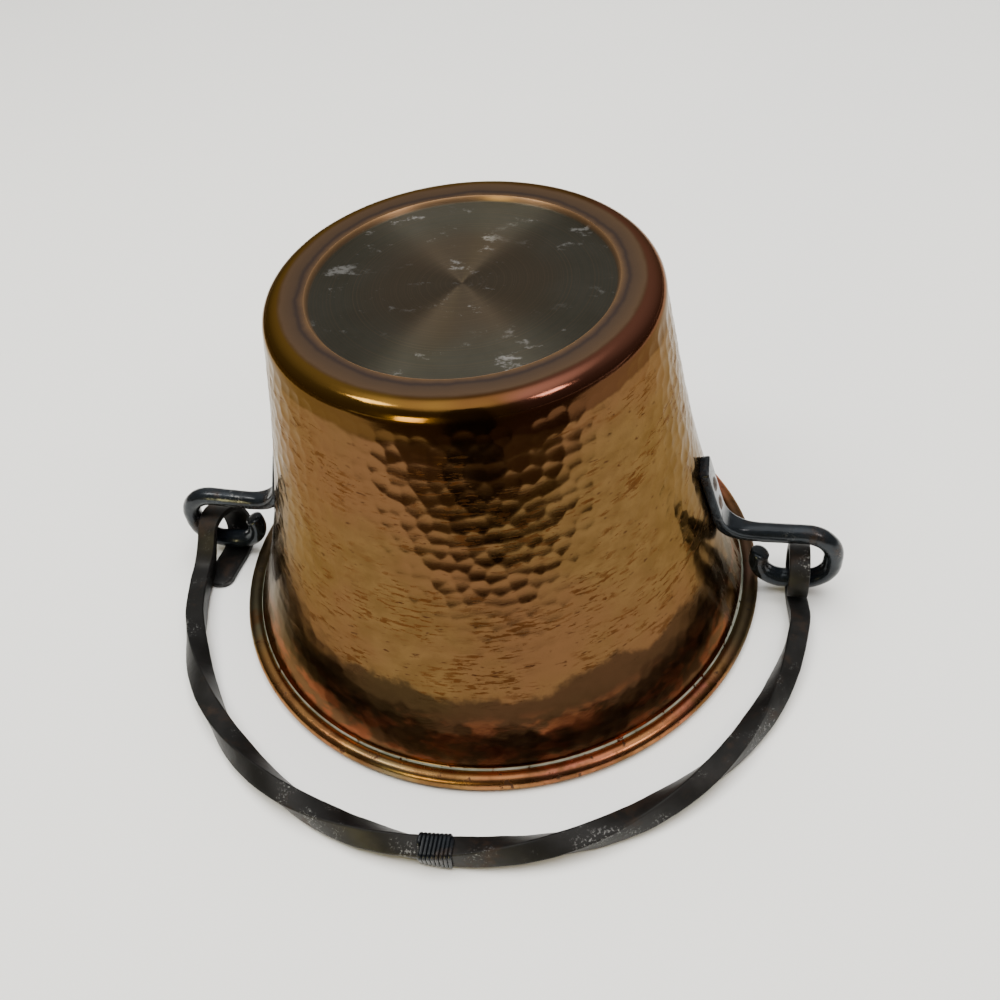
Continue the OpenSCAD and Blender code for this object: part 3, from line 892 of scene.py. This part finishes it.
def copper_outside():
    """Old copper: golden where it is rubbed, brown in streaks and on the flare, green in the groove."""
    n = Nodes("copper_outside")
    place = n.place()
    x, y, z = n.parts(place)
    broad = n.noise(place, 16.0, 4.0)
    mottle = n.grain(place, 90.0, 90.0, 140.0, 5.0, 0.6)
    mottled = n.step(mottle, 0.3, 0.7)
    colour, dash, pit = rubbed_wall(n, place, z, broad, mottle)
    colour = dark_flare(n, place, z, broad, colour)
    colour = corner_tints_and_painted_reflection(n, place, x, z, colour)
    colour = base_ring(n, place, z, colour)

    # Beside the lugs no cloth reaches: a chalky haze, and more verdigris in the groove
    beside = n.step(n.size_of(y), 0.046, 0.008)
    runs = n.step(n.grain(place, 120.0, 160.0, 34.0, 4.0, 0.65), 0.40, 0.66)
    haze = n.times(n.times(beside, n.step(z, 0.048, 0.012)), n.times(runs, 0.8))
    colour = n.mix(haze, colour, (0.120, 0.125, 0.100))
    crust = n.step(n.noise(place, 330.0, 4.0, 0.6), 0.34, 0.40)
    groove = n.times(n.step(n.minus(z, n.times(beside, 0.0012)), 0.0071, 0.0064), crust)
    colour = n.mix(groove, colour, n.mix(mottled, (0.16, 0.18, 0.14), (0.34, 0.36, 0.30)))

    rough = n.plus(0.14, n.times(dash, 0.2))
    rough = n.plus(rough, n.times(mottled, 0.06))
    rough = n.plus(rough, n.times(groove, 0.5))
    rough = n.plus(rough, n.times(haze, 0.4))
    rough = n.minus(rough, n.times(n.step(z, 0.1405, 0.1445), 0.03))
    normal = n.bump(n.grain(place, 700.0, 700.0, 1500.0, 3.0), 0.00003, 0.4)
    normal = n.bump(n.plus(pit, n.times(dash, 0.4)), 0.00012, -0.7, normal)
    normal = n.bump(groove, 0.0003, 0.6, normal)
    dull = n.larger(groove, n.times(haze, 0.3))
    return n.finish(Base_Color=colour, Metallic=n.minus(1.0, dull), Roughness=rough, Normal=normal,
                    Specular_Tint=COPPER_EDGE)


def copper_base():
    """Sunk middle of the base: dull olive-brown metal with fine turned rings and white scuffs."""
    n = Nodes("copper_base")
    place = n.place()
    radius = n.radius(place)
    turned_marks = n.add("ShaderNodeCombineXYZ", X=n.times(radius, 1500.0), Y=0.0, Z=0.0)
    rings = n.noise(turned_marks, 1.0, 4.0, 0.75)
    broad = n.noise(place, 34.0, 4.0, 0.6)
    colour = n.mix(n.step(broad, 0.3, 0.7), (0.066, 0.064, 0.049), (0.086, 0.083, 0.066))
    brown = n.step(n.plus(radius, n.times(broad, 0.016)), 0.052, 0.030)
    colour = n.mix(brown, colour, (0.086, 0.068, 0.047))
    colour = n.mix(n.step(rings, 0.47, 0.72), colour, (0.125, 0.095, 0.062))
    smears = n.step(n.grain(place, 60.0, 90.0, 60.0, 6.0, 0.78), 0.57, 0.67)
    scuffs = n.times(smears, n.step(n.noise(place, 21.0, 2.0), 0.44, 0.58))
    colour = n.mix(n.times(scuffs, 0.75), colour, (0.46, 0.46, 0.45))
    colour = n.mix(n.step(radius, 0.0538, 0.0552), colour, (0.42, 0.25, 0.13))
    rough = n.plus(0.44, n.times(scuffs, 0.3))
    normal = n.bump(rings, 0.00004, 0.5)
    tangent = n.tree.nodes.new("ShaderNodeTangent")
    tangent.direction_type = "RADIAL"
    tangent.axis = "Z"
    return n.finish(Base_Color=colour, Metallic=0.95, Roughness=rough, Normal=normal, Anisotropic=0.92,
                    Anisotropic_Rotation=0.25, Tangent=tangent.outputs[0])


def copper_bead():
    """Bright copper of the bead, rubbed by every shelf, with heat colours and grime by the lugs."""
    n = Nodes("copper_bead")
    place = n.place()
    tints = n.ramp(n.noise(place, 13.0, 2.0),
                   (0.30, (0.15, 0.140, 0.085)), (0.42, (0.29, 0.160, 0.055)),
                   (0.52, (0.36, 0.140, 0.065)), (0.62, (0.42, 0.130, 0.110)),
                   (0.70, (0.30, 0.170, 0.055)))
    broad = n.noise(place, 60.0, 4.0, 0.6)
    colour = n.mix(n.step(broad, 0.45, 0.68), tints, (0.14, 0.065, 0.025))
    spots = n.step(n.noise(place, 260.0, 4.0, 0.6), 0.60, 0.68)
    colour = n.mix(spots, colour, (0.10, 0.05, 0.03))
    _, y, _ = n.parts(place)
    sheltered = n.step(n.plus(n.size_of(y), n.times(broad, 0.03)), 0.075, 0.045)
    colour = n.mix(n.times(sheltered, 0.85), colour, (0.050, 0.048, 0.034))
    rough = n.plus(0.27, n.times(n.larger(spots, sheltered), 0.2))
    normal = n.bump(n.noise(place, 420.0, 3.0), 0.00005, 0.5)
    return n.finish(Base_Color=colour, Metallic=1.0, Roughness=rough, Normal=normal,
                    Specular_Tint=COPPER_EDGE)


def copper_inside():
    """Bare copper inside, evenly toned, with the wall's faint turning marks."""
    n = Nodes("copper_inside")
    place = n.place()
    colour = n.mix(n.noise(place, 30.0, 4.0), (0.52, 0.26, 0.12), (0.36, 0.17, 0.075))
    normal = n.bump(n.grain(place, 60.0, 60.0, 900.0, 3.0), 0.0001, 0.4)
    return n.finish(Base_Color=colour, Metallic=1.0, Roughness=0.3, Normal=normal)


def black_iron(name, tint, roughness, worn):
    """Forged iron with an oxide skin: brown in places, and speckled grey wear in patches."""
    n = Nodes(name)
    place = n.place()
    broad = n.noise(place, 70.0, 4.0)
    colour = n.mix(n.step(broad, 0.35, 0.65), tint, tuple(1.7 * c for c in tint))
    brown = n.step(n.noise(place, 55.0, 6.0, 0.7), 0.52, 0.66)
    colour = n.mix(n.times(brown, 0.8), colour, (0.030, 0.019, 0.013))
    speckle = n.step(n.noise(place, 900.0, 3.0, 0.7), 0.54, 0.64)
    patches = n.step(n.noise(place, 48.0, 3.0, 0.6), 0.54, 0.68)
    wear = n.times(n.times(speckle, patches), worn)
    colour = n.mix(wear, colour, (0.24, 0.24, 0.235))
    rough = n.plus(roughness, n.times(brown, 0.15))
    rough = n.plus(rough, n.times(wear, 0.2))
    normal = n.bump(n.noise(place, 130.0, 2.0), 0.0012, 0.2)
    normal = n.bump(n.noise(place, 420.0, 5.0, 0.6), 0.00025, 0.3, normal)
    return n.finish(Base_Color=colour, Metallic=0.55, Roughness=rough, Normal=normal)


def pale_cloth():
    """Plain white tablecloth, pulled nearly flat."""
    n = Nodes("pale_cloth")
    place = n.place()
    colour = n.mix(n.noise(place, 3.0, 3.0), (0.83, 0.835, 0.815), (0.87, 0.875, 0.855))
    normal = n.bump(n.grain(place, 2.5, 5.0, 1.0, 2.0), 0.02, 0.25)
    return n.finish(Base_Color=colour, Roughness=0.9, Normal=normal)


# Stage, light and camera. The floor's half width is in metres.
FLOOR_HALF = 3.0
LIT_HEIGHT = 80.0
WHITE = (1.0, 1.0, 1.0)


def floor(material):
    """The table, a plain flat sheet."""
    half = FLOOR_HALF
    corners = [(-half, -half, 0), (half, -half, 0), (half, half, 0), (-half, half, 0)]
    mesh = bpy.data.meshes.new("floor")
    mesh.from_pydata(corners, [], [(0, 1, 2, 3)])
    mesh.materials.append(material)
    piece = bpy.data.objects.new("floor", mesh)
    bpy.context.scene.collection.objects.link(piece)


def aim(obj, target_mm, roll=0.0):
    """Points an object's -Z at a target, with its X level apart from the roll."""
    ahead = (Vector(target_mm) * MM - obj.location).normalized()
    right = ahead.cross(Vector((0, 0, 1))).normalized()
    up = right.cross(ahead)
    turned_right = right * math.cos(roll) + up * math.sin(roll)
    turned_up = turned_right.cross(ahead)
    axes = Matrix((turned_right, turned_up, -ahead)).transposed()
    obj.rotation_euler = axes.to_euler()


def soft_light(name, azimuth, elevation, distance, width, height, watts, colour=WHITE, mirrored=True):
    """A soft box, aimed at the pan. Azimuth is counted from +Y towards +X, in degrees."""
    data = bpy.data.lights.new(name, "AREA")
    data.shape = "RECTANGLE"
    data.size, data.size_y = width, height
    data.energy = watts
    data.color = colour
    lamp = bpy.data.objects.new(name, data)
    a, e = math.radians(azimuth), math.radians(elevation)
    away = distance * math.cos(e)
    up = distance * math.sin(e) + LIT_HEIGHT * MM
    lamp.location = (away * math.sin(a), away * math.cos(a), up)
    lamp.visible_glossy = mirrored
    bpy.context.scene.collection.objects.link(lamp)
    aim(lamp, (0, 0, LIT_HEIGHT))


def room_walls(tree, direction):
    """Colour of the room from its dark front to the lighter wall behind and overhead."""
    lean = tree.nodes.new("ShaderNodeVectorMath")
    lean.operation = "DOT_PRODUCT"
    tree.links.new(direction, lean.inputs[0])
    lean.inputs[1].default_value = (0.0, 0.55, 0.83)
    ramp = tree.nodes.new("ShaderNodeValToRGB")
    tree.links.new(lean.outputs["Value"], ramp.inputs["Fac"])
    elements = ramp.color_ramp.elements
    elements[0].position, elements[0].color = 0.0, (0.13, 0.11, 0.09, 1.0)
    elements[1].position, elements[1].color = 1.0, (0.58, 0.56, 0.52, 1.0)
    elements.new(0.45).color = (0.20, 0.185, 0.165, 1.0)
    return ramp.outputs["Color"]


def room():
    """Dim warm room with a bright ceiling."""
    world = bpy.data.worlds.new("room")
    bpy.context.scene.world = world
    world.use_nodes = True
    tree = world.node_tree
    direction = tree.nodes.new("ShaderNodeTexCoord").outputs["Generated"]
    parts = tree.nodes.new("ShaderNodeSeparateXYZ")
    tree.links.new(direction, parts.inputs[0])
    overhead = tree.nodes.new("ShaderNodeMapRange")
    overhead.interpolation_type = "SMOOTHSTEP"
    tree.links.new(parts.outputs["Z"], overhead.inputs["Value"])
    overhead.inputs["From Min"].default_value = 0.76
    overhead.inputs["From Max"].default_value = 0.99
    ceiling = tree.nodes.new("ShaderNodeMix")
    ceiling.data_type = "RGBA"
    tree.links.new(overhead.outputs["Result"], ceiling.inputs["Factor"])
    tree.links.new(room_walls(tree, direction), ceiling.inputs[6])
    ceiling.inputs[7].default_value = (1.9, 1.85, 1.75, 1.0)
    background = tree.nodes["Background"].inputs
    tree.links.new(ceiling.outputs[2], background["Color"])
    background["Strength"].default_value = 1.0


def unseen_card(name, corners, colour):
    """Card that only mirrors in the metal: part of the lighting, like a studio's dark flags."""
    mesh = bpy.data.meshes.new(name)
    mesh.from_pydata([tuple(c * MM for c in corner) for corner in corners], [], [(0, 1, 2, 3)])
    n = Nodes(name + "_paint")
    mesh.materials.append(n.finish(Base_Color=colour, Roughness=0.9))
    card = bpy.data.objects.new(name, mesh)
    bpy.context.scene.collection.objects.link(card)
    card.visible_camera = False
    card.visible_shadow = False
    card.visible_diffuse = False


def dark_side():
    """What lies beyond the table's edges: a dim floor, and something dark and upright in front."""
    floorboards = (0.09, 0.07, 0.05)
    unseen_card("beyond_table", [(-1100, -515, 1), (-900, -2400, 1), (1900, -2400, 1), (1500, 95, 1)],
                (0.07, 0.05, 0.035))
    unseen_card("left_of_table", [(-430, -340, 1), (-430, 1500, 1), (-2900, 1500, 1), (-2900, -2400, 1)],
                floorboards)
    unseen_card("right_of_table", [(520, -130, 1), (2900, 700, 1), (2900, 1500, 1), (520, 1500, 1)],
                floorboards)
    unseen_card("dark_upright", [(-10, -330, 2), (130, -300, 2), (170, -520, 1100), (-60, -560, 1100)],
                (0.015, 0.012, 0.011))


def camera():
    """The photo's camera."""
    data = bpy.data.cameras.new("camera")
    data.sensor_fit = "HORIZONTAL"
    data.sensor_width = SENSOR
    data.lens = SENSOR * FOCAL_PX / IMAGE_PX
    data.clip_start = 0.01
    seen = bpy.data.objects.new("camera", data)
    seen.location = Vector(CAMERA_AT) * MM
    bpy.context.scene.collection.objects.link(seen)
    aim(seen, CAMERA_AIM, CAMERA_ROLL)
    bpy.context.scene.camera = seen


camera()
room()
floor(pale_cloth())
dark_side()
soft_light("overhead", 0, 88, 1.5, 1.6, 1.6, 47, mirrored=False)
soft_light("left_window", -110, 58, 1.6, 0.36, 0.32, 5, (1.0, 0.95, 0.86))
soft_light("right_window", 118, 48, 1.7, 0.35, 0.35, 5, (1.0, 0.88, 0.80))
soft_light("far_window", -161, 9, 2.4, 0.55, 0.95, 26, (1.0, 0.84, 0.36))

pan_outside(copper_outside())
pan_base(copper_base())
pan_bead(copper_bead())
pan_inside(copper_inside())
lug_iron = black_iron("lug_iron", (0.010, 0.0130, 0.0170), 0.19, 0.35)
rivet_iron = black_iron("rivet_iron", (0.04, 0.024, 0.016), 0.45, 0.3)
bail_iron = black_iron("bail_iron", (0.0070, 0.0069, 0.0069), 0.48, 0.7)
wrap_iron = black_iron("wrap_wire", (0.007, 0.009, 0.012), 0.24, 0.0)
rivet_seed = 10
for side in ("left", "right"):
    lug(side, lug_iron)
    for level in ("upper", "lower"):
        rivet(side, level, rivet_iron, rivet_seed)
        rivet_seed += 1
bail(bail_iron)
wire_wrap(wrap_iron)

rim_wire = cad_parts["rim_wire"]
rim_wire.data.materials.clear()
rim_wire.data.materials.append(black_iron("rim_wire", (0.06, 0.06, 0.06), 0.5, 0.3))
